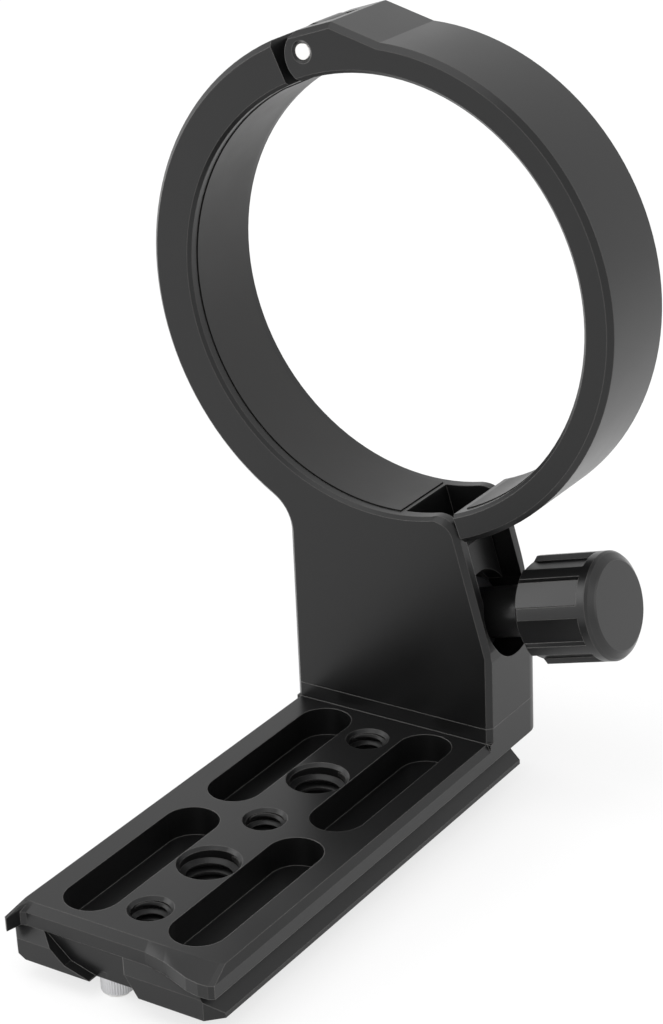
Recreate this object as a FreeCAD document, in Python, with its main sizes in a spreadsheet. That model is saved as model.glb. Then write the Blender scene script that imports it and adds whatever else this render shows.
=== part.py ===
import FreeCAD, Part
import math
import os
import Sketcher

# Tripod collar for a long lens: a two-part clamping ring on a pedestal, a
# hinge at the top left, a fluted clamp knob at the lower right and a long
# dovetail foot with screw holes and lightening slots.
# Millimetres. The origin is the middle of the lens bore, +Z is up, +Y points
# to the back and +X to the knob side.

V = FreeCAD.Vector
os.makedirs("parts", exist_ok=True)
doc = FreeCAD.newDocument("lens_tripod_collar")
sheet = doc.addObject("Spreadsheet::Sheet", "sizes")

SIZES = (
    # The clamping ring.
    ("ring_width", 18.1, "ring, front face to back face"),
    ("bore_radius", 37.4, "metal lips beside the liner"),
    ("ring_wall", 5.1, "swinging half, bore to outside"),
    ("base_wall", 7.7, "fixed half, bore to outside"),
    ("edge_bevel", 0.9, "bevel of the outer edges"),
    ("bore_bevel", 0.6, "bevel of the bore's edges"),
    ("liner_width", 14.1, "both liner strips"),
    ("liner_recess", 1.0, "depth of the recess under a liner"),
    ("liner_proud", 0.2, "liner stands above the lips"),
    ("liner_gap", 0.15, "end gap of a liner in its recess"),
    ("base_liner_start", 118.0, "angle about the bore, degrees"),
    ("base_liner_end", 273.0, "angle about the bore, degrees"),
    ("ring_liner_start", -67.0, "angle about the bore, degrees"),
    ("ring_liner_end", 99.0, "angle about the bore, degrees"),
    ("ring_end_angle", -69.5, "free end of the swinging half, degrees"),
    ("base_end_angle", 115.0, "hinge end of the fixed half, degrees"),
    # The hinge.
    ("pin_x", -12.7, "hinge axis"),
    ("pin_rise", 2.4, "hinge axis above the crest of the bore"),
    ("pin_radius", 1.5, "steel pin"),
    ("pin_fit", 0.04, "running clearance of the pin in the ears"),
    ("pin_sunk", 0.2, "pin ends below the ring's faces"),
    ("pin_bevel", 0.2, "bevel of the pin's ends"),
    ("ear_bevel", 0.35, "bevel of the holes in the ears"),
    ("knuckle_width", 7.7, "middle knuckle of the fixed half"),
    ("knuckle_radius", 3.6, "round of the knuckle about the pin"),
    ("knuckle_gap", 0.2, "side gap between knuckle and ear"),
    ("knuckle_round_gap", 0.5, "gap around the knuckle"),
    ("gap_first", -92.0, "start of the gap's round under the pin, degrees"),
    ("gap_last", 12.0, "end of the gap's round beside the pin, degrees"),
    ("gap_lean", 2.2, "lean of the gap's right wall above the pin"),
    ("ear_left", 3.25, "ear's reach to the left of the pin"),
    ("ear_foot_angle", 111.0, "where the ear meets the bore, degrees"),
    ("boss_left_x", -14.2, "left end of the hinge boss"),
    ("boss_left_rise", 0.4, "left end of the hinge boss above the ring's crest"),
    ("boss_top_x", -7.5, "crest of the hinge boss"),
    ("boss_top_rise", 2.5, "crest of the hinge boss above the ring's crest"),
    ("boss_end_angle", 88.0, "boss runs out on the ring, degrees"),
    # The pedestal.
    ("pedestal_half", 19.7, "half width of pedestal and foot"),
    ("pedestal_bottom", -73.4, "joint between pedestal and foot"),
    ("pedestal_blend", 7.0, "fillet between ring and left side"),
    ("side_top", -60.1, "top of the upright right side"),
    ("screw_tilt", 15.5, "clamp screw above the level, degrees"),
    ("screw_up", 5.16, "screw axis above the foot of the slant"),
    ("corner_round", 4.0, "round between bore and slanted side"),
    ("rear_round", 4.5, "round of the rear corners, in plan"),
    ("rear_round_top", -46.5, "top of the left rear round"),
    ("right_round_top", -36.0, "top of the right rear round"),
    # The clamp.
    ("slot_width", 13.15, "slot between the two cheeks"),
    ("slot_depth", 10.4, "slot, measured from the slanted side"),
    ("slot_reach", 30.0, "slot, up from the screw's axis into the bore"),
    ("clear_out", 6.0, "cutters stand this far outside the slanted side"),
    ("pocket_radius", 7.6, "round pocket about the screw"),
    ("tongue_gap", 0.275, "side gap of the tongue in the slot"),
    ("tongue_back", 9.4, "inner face of the tongue"),
    ("tongue_front", 3.75, "outer face of the tongue"),
    ("tongue_seat", 6.75, "floor of the tongue's counterbore"),
    ("tongue_rise", 12.6, "tongue's outer face, up from the screw's axis"),
    ("tongue_back_rise", 12.2, "tongue's inner face, up from the screw's axis"),
    ("tongue_hole", 3.4, "radius of the hole in the tongue"),
    ("thread_wall", 3.05, "radius of the threaded bore"),
    ("thread_depth", 18.4, "bottom of the threaded bore"),
    ("thread_lead", 0.9, "lead-in of the threaded bore"),
    ("stud_radius", 2.95, "plain part of the stud"),
    ("stud_core", 2.45, "threaded part of the stud, at the core"),
    ("stud_step", 9.2, "where the threaded part starts"),
    ("stud_tip", 16.2, "end of the stud"),
    ("stud_hold", 12.0, "stud's end inside the knob"),
    ("washer_thick", 1.0, "thrust washer"),
    ("washer_radius", 6.4, "thrust washer"),
    ("washer_hole", 3.05, "hole of the thrust washer"),
    ("neck_radius", 4.4, "neck of the knob"),
    ("knob_rear", 6.25, "rear face of the knob's grip"),
    ("knob_rear_radius", 7.6, "rear face of the knob's grip"),
    ("knob_body_start", 7.45, "end of the rear bevel"),
    ("knob_radius", 9.15, "largest radius of the knob"),
    ("knob_body_end", 20.5, "start of the front bevel"),
    ("knob_face", 21.9, "flat end of the knob"),
    ("knob_face_radius", 7.5, "flat end of the knob"),
    ("knob_soft", 0.35, "eased edges of the front bevel"),
    ("flute_end", 19.0, "outer end of the flutes"),
    ("flute_floor", 7.95, "flute's floor, from the knob's axis"),
    ("flute_half_low", 2.15, "half width of a flute at its floor"),
    ("flute_half_high", 2.9, "half width of a flute at the top"),
    ("flute_count", 8, "flutes around the knob"),
    ("flute_phase", 6.4, "first flute, degrees"),
    # The foot.
    ("foot_top", -76.2, "upper face of the foot"),
    ("foot_bottom", -85.2, "lower face of the foot"),
    ("top_half", 18.9, "half width of the upper face"),
    ("top_bevel", 1.4, "height of the bevel under the upper face"),
    ("flange_bottom", -79.9, "underside of the flange"),
    ("top_front", -86.8, "front edge of the upper face"),
    ("lip_front", -88.0, "straight front lip"),
    ("block_front", -89.5, "front of the dovetail block"),
    ("block_drop", 1.8, "height of the sloped front of the block"),
    ("dove_neck", 15.7, "half width of the dovetail's neck"),
    ("dove_rim", 19.0, "half width of the dovetail's rim"),
    ("dove_rim_height", 0.8, "upright edge of the dovetail's rim"),
    ("dove_rear", 2.0, "rear end of the dovetail"),
    ("dove_clip", 2.4, "clipped front right corner of the dovetail"),
    ("stop_clip", 1.1, "clipped front left corner of the end stop"),
    ("stop_length_y", 4.2, "end stop that closes the left groove in front"),
    ("stop_bevel", 1.7, "bevel of the end stop's lower left corner"),
    ("slot_x", 10.1, "lightening slots beside the middle line"),
    ("slot_radius", 4.75, "round ends of the slots"),
    ("slot_sink", 5.2, "depth of the slots"),
    ("front_slot_start", -85.2, "front pair of slots"),
    ("front_slot_end", -50.0, "front pair of slots"),
    ("rear_slot_start", -46.6, "rear pair of slots"),
    ("rear_slot_end", -10.4, "rear pair of slots"),
    ("first_hole", -79.37, "foremost small screw hole"),
    ("hole_pitch", 15.57, "screw hole to the next one"),
    ("small_hole", 3.175, "radius of the 1/4 inch holes"),
    ("large_hole", 4.7625, "radius of the 3/8 inch holes"),
    ("small_hole_count", 3, "small holes"),
    ("large_hole_count", 2, "large holes"),
    ("hole_bevel", 0.55, "countersink of the screw holes"),
    ("recess_depth", 1.8, "recess in the front of the block"),
    ("recess_left", -14.3, "recess, upper left corner"),
    ("recess_right", 0.8, "recess, upper right corner"),
    ("recess_low_right", 4.5, "recess, lower right corner"),
    ("recess_low_left", -4.8, "recess, lower left corner"),
    ("recess_knee", -9.6, "knee of the recess's left wall"),
    ("recess_knee_rise", 1.3, "knee above the foot's lower face"),
    # Screws.
    ("stop_x", -3.1, "stop screw under the front"),
    ("stop_y", -84.9, "stop screw under the front"),
    ("stop_head", 2.5, "radius of the stop screw's head"),
    ("stop_sink", 1.2, "stop screw's head sunk in the foot"),
    ("stop_stand", 3.4, "stop screw's head below the foot"),
    ("stop_shank", 1.5, "radius of the stop screw's thread"),
    ("stop_length", 5.6, "stop screw's thread above its head"),
    ("stop_pocket_gap", 0.25, "gap around the stop screw's head"),
    ("fix_x", 9.5, "screws between foot and pedestal"),
    ("fix_y", -3.6, "screws between foot and pedestal"),
    ("fix_head", 4.25, "radius of the fixing screw's head"),
    ("fix_head_height", 5.0, "height of the fixing screw's head"),
    ("fix_seat", -79.8, "shoulder under the fixing screw's head"),
    ("fix_shank", 2.5, "radius of the fixing screw's shank"),
    ("fix_top", -66.0, "upper end of the fixing screw"),
    ("fix_hex", 2.31, "radius of the hexagon socket's corners"),
    ("fix_gap", 0.35, "gap around the fixing screw's head"),
    ("tap_extra", 1.5, "tapped hole deeper than its screw"),
)

for row, (alias, value, note) in enumerate(SIZES, start=1):
    sheet.set("A%d" % row, alias)
    sheet.set("B%d" % row, str(value))
    sheet.set("C%d" % row, note)
    sheet.setAlias("B%d" % row, alias)
doc.recompute()


def size(alias):
    return float(sheet.get(alias))


def bind(feature, prop, expression):
    feature.setExpression(prop, expression)


tilt = math.radians(size("screw_tilt"))
across = (-math.sin(tilt), math.cos(tilt))
outward = (math.cos(tilt), math.sin(tilt))
screw_x = size("pedestal_half") + size("screw_up") * across[0]
screw_z = size("side_top") + size("screw_up") * across[1]


def at_screw(out, up):
    """Point (x, z) at out along the clamp screw and up across it."""
    x = screw_x + out * outward[0] + up * across[0]
    z = screw_z + out * outward[1] + up * across[1]
    return (x, z)


def polar(radius, degrees):
    angle = math.radians(degrees)
    return (radius * math.cos(angle), radius * math.sin(angle))


def new_body(name):
    body = doc.addObject("PartDesign::Body", name)
    body.Label = name
    return body


def origin_feature(body, role):
    for feature in body.Origin.OriginFeatures:
        if feature.Role == role:
            return feature
    raise RuntimeError("no " + role)


def add_sketch(body, name, role, shift=(0.0, 0.0, 0.0), turn=0.0):
    """A sketch on one of the body's own planes, shifted and turned in it."""
    sketch = body.newObject("Sketcher::SketchObject", name)
    sketch.AttachmentSupport = [(origin_feature(body, role), "")]
    sketch.MapMode = "FlatFace"
    rotation = FreeCAD.Rotation(V(0, 0, 1), turn)
    sketch.AttachmentOffset = FreeCAD.Placement(V(*shift), rotation)
    return sketch


def line(sketch, start, end):
    sketch.addGeometry(Part.LineSegment(V(*start, 0), V(*end, 0)), False)


def arc(sketch, centre, radius, first, last):
    """Counter-clockwise arc between two angles in degrees."""
    circle = Part.Circle(V(*centre, 0), V(0, 0, 1), radius)
    piece = Part.ArcOfCircle(circle, math.radians(first), math.radians(last))
    sketch.addGeometry(piece, False)


def three_point_arc(sketch, start, middle, end):
    sketch.addGeometry(Part.Arc(V(*start, 0), V(*middle, 0), V(*end, 0)), False)


def polygon(sketch, points):
    """Closed outline with its corners tied together."""
    count = len(points)
    first = len(sketch.Geometry)
    for i in range(count):
        line(sketch, points[i], points[(i + 1) % count])
    for i in range(count):
        following = first + (i + 1) % count
        sketch.addConstraint(Sketcher.Constraint("Coincident", first + i, 2, following, 1))


def circle(sketch, centre, alias):
    """Circle whose radius is the sheet's value."""
    shape = Part.Circle(V(*centre, 0), V(0, 0, 1), size(alias))
    index = sketch.addGeometry(shape, False)
    number = sketch.addConstraint(Sketcher.Constraint("Radius", index, size(alias)))
    bind(sketch, "Constraints[%d]" % number, "sizes." + alias)


def sector(sketch, low, high, first, last):
    """Closed piece of a ring about the sketch's origin."""
    arc(sketch, (0, 0), low, first, last)
    arc(sketch, (0, 0), high, first, last)
    line(sketch, polar(low, first), polar(high, first))
    line(sketch, polar(low, last), polar(high, last))


def pad(body, sketch, name, length, midplane=False, reverse=False):
    feature = body.newObject("PartDesign::Pad", name)
    feature.Profile = sketch
    feature.Midplane = midplane
    feature.Reversed = reverse
    bind(feature, "Length", length)
    sketch.Visibility = False
    doc.recompute()
    return feature


def cut(body, sketch, name, length, midplane=False, reverse=False):
    """Pocket that must take material away."""
    before = body.Shape.Volume
    feature = body.newObject("PartDesign::Pocket", name)
    feature.Profile = sketch
    feature.Midplane = midplane
    feature.Reversed = reverse
    bind(feature, "Length", length)
    sketch.Visibility = False
    doc.recompute()
    if not feature.Shape.Volume < before - 1e-3:
        raise RuntimeError(name + " cuts nothing")
    return feature


def turned_cut(body, sketch, name, axis):
    """Groove of a full turn about one of the sketch's axes."""
    before = body.Shape.Volume
    feature = body.newObject("PartDesign::Groove", name)
    feature.Profile = sketch
    feature.ReferenceAxis = (sketch, [axis])
    feature.Angle = 360
    sketch.Visibility = False
    doc.recompute()
    if not feature.Shape.Volume < before - 1e-3:
        raise RuntimeError(name + " cuts nothing")
    return feature


def turned(body, sketch, name, axis):
    feature = body.newObject("PartDesign::Revolution", name)
    feature.Profile = sketch
    feature.ReferenceAxis = (sketch, [axis])
    feature.Angle = 360
    sketch.Visibility = False
    doc.recompute()
    return feature


def face_edges(shape, choose):
    """Names of the edges that lie in the ring's two faces and pass the test."""
    names = []
    half = size("ring_width") / 2
    for number, edge in enumerate(shape.Edges, start=1):
        box = edge.BoundBox
        if abs(abs(box.YMin) - half) > 1e-4 or abs(box.YMax - box.YMin) > 1e-4:
            continue
        middle = edge.valueAt((edge.FirstParameter + edge.LastParameter) / 2)
        if choose(middle, edge):
            names.append("Edge%d" % number)
    return names


def bevel(body, name, base, names, alias):
    feature = body.newObject("PartDesign::Chamfer", name)
    feature.Base = (base, names)
    bind(feature, "Size", "sizes." + alias)
    doc.recompute()
    return feature


def bevel_bore(body, name):
    """Bevel both edges of the bore with a groove turned about the lens axis."""
    mouth = size("bore_bevel")
    radius = size("bore_radius")
    half = size("ring_width") / 2
    for side, direction in (("front", -1), ("rear", 1)):
        sketch = add_sketch(body, "%s_%s_outline" % (name, side), "YZ_Plane")
        polygon(sketch, [(direction * (half + 0.2), radius - 1),
                         (direction * (half + 0.2), radius + mouth + 0.2),
                         (direction * (half - mouth - 1), radius - 1)])
        turned_cut(body, sketch, "%s_%s" % (name, side), "H_Axis")


def on_bore(point):
    return math.hypot(point.x, point.z) < size("bore_radius") + size("bore_bevel") + 0.02


# The fixed half of the ring with its pedestal.

base = new_body("collar_base")
bore = size("bore_radius")
outer = bore + size("base_wall")
half = size("pedestal_half")
end_angle = size("base_end_angle")
corner = size("corner_round")
blend = size("pedestal_blend")

# Centre of the round between the bore and the slanted side.
low_x, low_z = at_screw(-corner, 0)
along = low_x * across[0] + low_z * across[1]
inside = low_x ** 2 + low_z ** 2 - (bore + corner) ** 2
corner_up = -along - math.sqrt(along ** 2 - inside)
corner_centre = at_screw(-corner, corner_up)
corner_angle = math.degrees(math.atan2(corner_centre[1], corner_centre[0]))
corner_out = at_screw(0, corner_up)

# Centre of the fillet between the outer circle and the left side.
blend_x = -half - blend
blend_z = -math.sqrt((outer + blend) ** 2 - blend_x ** 2)
blend_angle = math.degrees(math.atan2(-blend_z, -blend_x))
side_foot = (half, size("side_top"))
bottom = size("pedestal_bottom")

outline = add_sketch(base, "base_outline", "XZ_Plane")
arc(outline, (0, 0), bore, end_angle, 360 + corner_angle)
arc(outline, corner_centre, corner, size("screw_tilt"), corner_angle + 180)
line(outline, corner_out, side_foot)
line(outline, side_foot, (half, bottom))
line(outline, (half, bottom), (-half, bottom))
line(outline, (-half, bottom), (-half, blend_z))
arc(outline, (blend_x, blend_z), blend, 0, blend_angle)
arc(outline, (0, 0), outer, end_angle, 180 + blend_angle)
line(outline, polar(outer, end_angle), polar(bore, end_angle))
pad(base, outline, "base_plate", "sizes.ring_width", midplane=True)
bevel_bore(base, "base_bore_bevel")

# Rounds of the rear corners, seen from above.
rear = size("ring_width") / 2
rear_round = size("rear_round")
for side, top in ((1, size("right_round_top")), (-1, size("rear_round_top"))):
    rounding = add_sketch(base, "rear_corner_%s" % ("right" if side > 0 else "left"),
                          "XY_Plane", (0, 0, top))
    centre = (side * (half - rear_round), rear - rear_round)
    far_x = side * (half + 1)
    far_y = rear + 1
    if side > 0:
        arc(rounding, centre, rear_round, 0, 90)
    else:
        arc(rounding, centre, rear_round, 90, 180)
    line(rounding, (centre[0], rear), (centre[0], far_y))
    line(rounding, (centre[0], far_y), (far_x, far_y))
    line(rounding, (far_x, far_y), (far_x, centre[1]))
    line(rounding, (far_x, centre[1]), (side * half, centre[1]))
    cut(base, rounding, "rear_round_%s" % ("right" if side > 0 else "left"), "60")


def bevelled_edge(point, edge):
    """Outer edges of the two faces, without the seat and the hinge end."""
    if on_bore(point) or abs(point.z - bottom) < 0.01:
        return False
    angle = math.degrees(math.atan2(point.z, point.x))
    return abs(angle - end_angle) > 0.2


plate = base.Tip
names = face_edges(plate.Shape, lambda p, e: bevelled_edge(p, e) and p.y < 0)
bevel(base, "front_bevel", plate, names, "edge_bevel")
plate = base.Tip


def rear_edge(point, edge):
    """Outer edges at the back that the corner rounds leave alone."""
    return bevelled_edge(point, edge) and point.y > 0 and point.z > size("rear_round_top") + 2


names = face_edges(plate.Shape, rear_edge)
bevel(base, "rear_bevel", plate, names, "edge_bevel")

# The knuckle around the hinge pin.
pin = (size("pin_x"), bore + size("pin_rise"))
pin_angle = math.degrees(math.atan2(pin[1], pin[0]))
pin_distance = math.hypot(pin[0], pin[1])
knuckle = size("knuckle_radius")
knuckle_sketch = add_sketch(base, "knuckle_outline", "XZ_Plane")
arc(knuckle_sketch, pin, knuckle, pin_angle - 180, pin_angle)
root_angle = end_angle + 1.5
root_low = polar(pin_distance - knuckle, root_angle)
root_high = polar(pin_distance + knuckle - 0.9, root_angle)
line(knuckle_sketch, polar(pin_distance + knuckle, pin_angle), root_high)
line(knuckle_sketch, root_high, root_low)
line(knuckle_sketch, root_low, polar(pin_distance - knuckle, pin_angle))
pad(base, knuckle_sketch, "knuckle", "sizes.knuckle_width", midplane=True)
pin_sketch = add_sketch(base, "pin_seat_circle", "XZ_Plane")
circle(pin_sketch, pin, "pin_radius")
cut(base, pin_sketch, "pin_seat", "sizes.ring_width", midplane=True)

# Recess for the liner strip.
recess = add_sketch(base, "base_recess_outline", "XZ_Plane")
deep = bore + size("liner_recess")
sector(recess, bore - 1, deep, size("base_liner_start"), size("base_liner_end"))
cut(base, recess, "base_recess", "sizes.liner_width", midplane=True)

# The slot between the cheeks runs up into the bore.
slot = add_sketch(base, "cheek_slot_outline", "XZ_Plane")
slot_deep = size("slot_depth")
slot_reach = size("slot_reach")
clear_out = size("clear_out")
polygon(slot, [at_screw(-slot_deep, 0), at_screw(clear_out, 0),
               at_screw(clear_out, slot_reach), at_screw(-slot_deep, slot_reach)])
cut(base, slot, "cheek_slot", "sizes.slot_width", midplane=True)

# Round pocket and threaded bore on the screw's axis.
bore_sketch = add_sketch(base, "clamp_bore_outline", "XZ_Plane",
                         (screw_x, screw_z, 0), size("screw_tilt"))
lead = size("thread_lead")
wall = size("thread_wall")
pocket = size("pocket_radius")
polygon(bore_sketch, [(clear_out, 0), (clear_out, pocket), (-slot_deep, pocket),
                      (-slot_deep, wall + lead), (-slot_deep - lead, wall),
                      (-size("thread_depth"), wall),
                      (-size("thread_depth") - wall * 0.6, 0)])
turned_cut(base, bore_sketch, "clamp_bore", "H_Axis")

# Tapped holes for the two screws that hold the foot.
for name, x in (("right_tap", size("fix_x")), ("left_tap", -size("fix_x"))):
    tap = add_sketch(base, name + "_circle", "XY_Plane", (0, 0, bottom))
    circle(tap, (x, size("fix_y")), "fix_shank")
    cut(base, tap, name, "sizes.fix_top - sizes.pedestal_bottom + sizes.tap_extra",
        reverse=True)

# The swinging half of the ring.

ring = new_body("upper_ring")
ring_outer = bore + size("ring_wall")
free_angle = size("ring_end_angle")
ear_foot = size("ear_foot_angle")
boss_end = size("boss_end_angle")
boss_left = (size("boss_left_x"), ring_outer + size("boss_left_rise"))
boss_top = (size("boss_top_x"), ring_outer + size("boss_top_rise"))

ring_outline = add_sketch(ring, "ring_outline", "XZ_Plane")
arc(ring_outline, (0, 0), bore, free_angle, ear_foot)
three_point_arc(ring_outline, polar(bore, ear_foot),
                (pin[0] - size("ear_left"), pin[1]), boss_left)
line(ring_outline, boss_left, boss_top)
line(ring_outline, boss_top, polar(ring_outer, boss_end))
arc(ring_outline, (0, 0), ring_outer, free_angle, boss_end)
line(ring_outline, polar(ring_outer, free_angle), polar(bore, free_angle))
pad(ring, ring_outline, "ring_plate", "sizes.ring_width", midplane=True)
bevel_bore(ring, "ring_bore_bevel")

plate = ring.Tip


def ring_outer_edge(point, edge):
    if on_bore(point) or point.x < pin[0] - 1.6 and point.z < boss_left[1] - 0.5:
        return False
    angle = math.degrees(math.atan2(point.z, point.x))
    return abs(angle - free_angle) > 0.2


names = face_edges(plate.Shape, ring_outer_edge)
bevel(ring, "ring_bevels", plate, names, "edge_bevel")

# Room for the knuckle as the ring swings open.
room = knuckle + size("knuckle_round_gap")
gap_sketch = add_sketch(ring, "knuckle_gap_outline", "XZ_Plane")
first, last = size("gap_first"), size("gap_last")
arc(gap_sketch, pin, room, first, last)
gap_start = (pin[0] + room * math.cos(math.radians(last)),
             pin[1] + room * math.sin(math.radians(last)))
gap_end = (pin[0] + room * math.cos(math.radians(first)),
           pin[1] + room * math.sin(math.radians(first)))
gap_high = (gap_start[0] - size("gap_lean"), boss_top[1] + 3)
gap_far = (boss_left[0] - 8, gap_high[1])
gap_low = (gap_far[0], gap_end[1] - 4)
gap_foot = (gap_end[0], gap_low[1])
line(gap_sketch, gap_start, gap_high)
line(gap_sketch, gap_high, gap_far)
line(gap_sketch, gap_far, gap_low)
line(gap_sketch, gap_low, gap_foot)
line(gap_sketch, gap_foot, gap_end)
cut(ring, gap_sketch, "knuckle_gap", "sizes.knuckle_width + 2 * sizes.knuckle_gap",
    midplane=True)

# Holes for the pin, with a small bevel at each mouth.
for name, direction in (("front_ear_hole", 1), ("rear_ear_hole", -1)):
    hole = add_sketch(ring, name + "_outline", "YZ_Plane", (0, pin[1], pin[0]))
    fit = size("pin_radius") + size("pin_fit")
    mouth = size("ear_bevel")
    face = -direction * rear
    polygon(hole, [(0, 0), (face * 1.2, 0), (face * 1.2, fit + mouth),
                   (face, fit + mouth), (face + direction * mouth, fit), (0, fit)])
    turned_cut(ring, hole, name, "H_Axis")

recess = add_sketch(ring, "ring_recess_outline", "XZ_Plane")
sector(recess, bore - 1, deep, size("ring_liner_start"), size("ring_liner_end"))
cut(ring, recess, "ring_recess", "sizes.liner_width", midplane=True)

# The tongue between the cheeks, round at its lower end.
tongue_half = size("slot_width") / 2 - size("tongue_gap")
tongue_sketch = add_sketch(ring, "tongue_outline", "XZ_Plane")
back = -size("tongue_back")
front = -size("tongue_front")
end_low = polar(ring_outer - 0.05, free_angle + 0.05)
end_in = polar(ring_outer - 1.5, free_angle + 1.5)
end_high = polar(bore + 1.7, free_angle + 0.6)
polygon(tongue_sketch, [at_screw(back, -tongue_half), at_screw(front, -tongue_half),
                        at_screw(front, size("tongue_rise")), end_low, end_in, end_high,
                        at_screw(back, size("tongue_back_rise"))])
pad(ring, tongue_sketch, "tongue", "sizes.slot_width - 2 * sizes.tongue_gap", midplane=True)

# Round the tongue's end, sink the washer's seat and drill the hole.
for side in (1, -1):
    name = "tongue_round_%s" % ("front" if side > 0 else "rear")
    rounding = add_sketch(ring, name + "_outline", "YZ_Plane")
    rounding.AttachmentOffset = FreeCAD.Placement(
        V(0, screw_z, screw_x), FreeCAD.Rotation(V(1, 0, 0), -size("screw_tilt")))
    far = tongue_half + 1
    if side > 0:
        arc(rounding, (0, 0), tongue_half, 180, 270)
        line(rounding, (-tongue_half, 0), (-far, 0))
        line(rounding, (-far, 0), (-far, -far))
        line(rounding, (-far, -far), (0, -far))
        line(rounding, (0, -far), (0, -tongue_half))
    else:
        arc(rounding, (0, 0), tongue_half, 270, 360)
        line(rounding, (tongue_half, 0), (far, 0))
        line(rounding, (far, 0), (far, -far))
        line(rounding, (far, -far), (0, -far))
        line(rounding, (0, -far), (0, -tongue_half))
    cut(ring, rounding, name, "sizes.tongue_back + 2")

seat_sketch = add_sketch(ring, "washer_seat_outline", "XZ_Plane",
                         (screw_x, screw_z, 0), size("screw_tilt"))
seat = -size("tongue_seat")
hole = size("tongue_hole")
seat_radius = pocket - 0.2
polygon(seat_sketch, [(2, 0), (2, seat_radius), (seat, seat_radius),
                      (seat, hole), (back - 1, hole), (back - 1, 0)])
turned_cut(ring, seat_sketch, "washer_seat", "H_Axis")

# Liner strips.

for name, first, last in (("base_liner", "base_liner_start", "base_liner_end"),
                          ("ring_liner", "ring_liner_start", "ring_liner_end")):
    liner = new_body(name)
    margin = math.degrees(size("liner_gap") / bore)
    strip = add_sketch(liner, name + "_outline", "XZ_Plane")
    sector(strip, bore - size("liner_proud"), deep, size(first) + margin, size(last) - margin)
    pad(liner, strip, name + "_strip", "sizes.liner_width - 2 * sizes.liner_gap", midplane=True)

# Hinge pin, modelled along its own Z axis.

pin_body = new_body("hinge_pin")
pin_profile = add_sketch(pin_body, "pin_profile", "XZ_Plane")
pin_half = size("ring_width") / 2 - size("pin_sunk")
pin_r = size("pin_radius")
end_bevel = size("pin_bevel")
polygon(pin_profile, [(0, -pin_half), (pin_r - end_bevel, -pin_half),
                      (pin_r, -pin_half + end_bevel), (pin_r, pin_half - end_bevel),
                      (pin_r - end_bevel, pin_half), (0, pin_half)])
turned(pin_body, pin_profile, "pin", "V_Axis")
pin_body.Placement = FreeCAD.Placement(V(pin[0], 0, pin[1]),
                                       FreeCAD.Rotation(V(1, 0, 0), -90))

# Knob, stud and washer are modelled along their own Z axis, which then lies
# on the clamp screw's axis. Their zero is where it meets the slanted side.

screw_turn = FreeCAD.Rotation(V(across[0], 0, across[1]), V(0, -1, 0),
                              V(outward[0], 0, outward[1]), "ZXY")
screw_place = FreeCAD.Placement(V(screw_x, 0, screw_z), screw_turn)
shoulder = seat + size("washer_thick")

knob = new_body("clamp_knob")
profile = add_sketch(knob, "knob_profile", "XZ_Plane")
stud_r = size("stud_radius")
hold = size("stud_hold")
neck = size("neck_radius")
knob_r = size("knob_radius")
face_r = size("knob_face_radius")
face = size("knob_face")
soft = size("knob_soft")
polygon(profile, [(stud_r, shoulder), (neck - 0.3, shoulder), (neck, shoulder + 0.3),
                  (neck, size("knob_rear")), (size("knob_rear_radius"), size("knob_rear")),
                  (knob_r, size("knob_body_start")), (knob_r, size("knob_body_end")),
                  (knob_r - soft, size("knob_body_end") + 0.5),
                  (face_r + soft, face - 0.2), (face_r, face), (0, face),
                  (0, hold), (stud_r, hold)])
turned(knob, profile, "knob_blank", "V_Axis")
flute_sketch = add_sketch(knob, "flute_outline", "XY_Plane",
                          (0, 0, size("flute_end")), size("flute_phase"))
low = size("flute_half_low")
high = size("flute_half_high")
floor = size("flute_floor")
polygon(flute_sketch, [(floor, -low), (knob_r + 0.6, -high), (knob_r + 0.6, high),
                       (floor, low)])
flute = cut(knob, flute_sketch, "flute", "sizes.flute_end - sizes.knob_rear + 1")
before = knob.Shape.Volume
flutes = knob.newObject("PartDesign::PolarPattern", "flutes")
flutes.Originals = [flute]
flutes.Axis = (flute_sketch, ["N_Axis"])
flutes.Angle = 360
bind(flutes, "Occurrences", "sizes.flute_count")
knob.Tip = flutes
doc.recompute()
if not knob.Shape.Volume < before - 1:
    raise RuntimeError("the flutes are missing")
knob.Placement = screw_place

stud = new_body("clamp_stud")
profile = add_sketch(stud, "stud_profile", "XZ_Plane")
step = -size("stud_step")
tip = -size("stud_tip")
core = size("stud_core")
polygon(profile, [(0, tip), (core - 0.6, tip), (core, tip + 0.6), (core, step),
                  (stud_r, step + 0.5), (stud_r, hold), (0, hold)])
turned(stud, profile, "stud", "V_Axis")
stud.Placement = screw_place

washer = new_body("thrust_washer")
profile = add_sketch(washer, "washer_profile", "XZ_Plane")
washer_r = size("washer_radius")
washer_h = size("washer_hole")
polygon(profile, [(washer_h, seat), (washer_r - 0.2, seat), (washer_r, seat + 0.2),
                  (washer_r, shoulder - 0.2), (washer_r - 0.2, shoulder),
                  (washer_h, shoulder)])
turned(washer, profile, "washer", "V_Axis")
washer.Placement = screw_place

# The foot: dovetail block first, then the flange and the raised rear seat.

foot = new_body("foot_plate")
top = size("foot_top")
under = size("foot_bottom")
flange_low = size("flange_bottom")
block_front = size("block_front")
lip = size("lip_front")
neck_half = size("dove_neck")
rim = size("dove_rim")
rim_top = under + size("dove_rim_height")
neck_z = rim_top + (rim - neck_half)
dove = add_sketch(foot, "dovetail_outline", "XZ_Plane", (0, 0, -block_front))
polygon(dove, [(-neck_half, flange_low), (-neck_half, neck_z), (-rim, rim_top),
               (-rim, under), (rim, under), (rim, rim_top),
               (neck_half, neck_z), (neck_half, flange_low)])
pad(foot, dove, "dovetail", "sizes.dove_rear - sizes.block_front", reverse=True)

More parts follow.
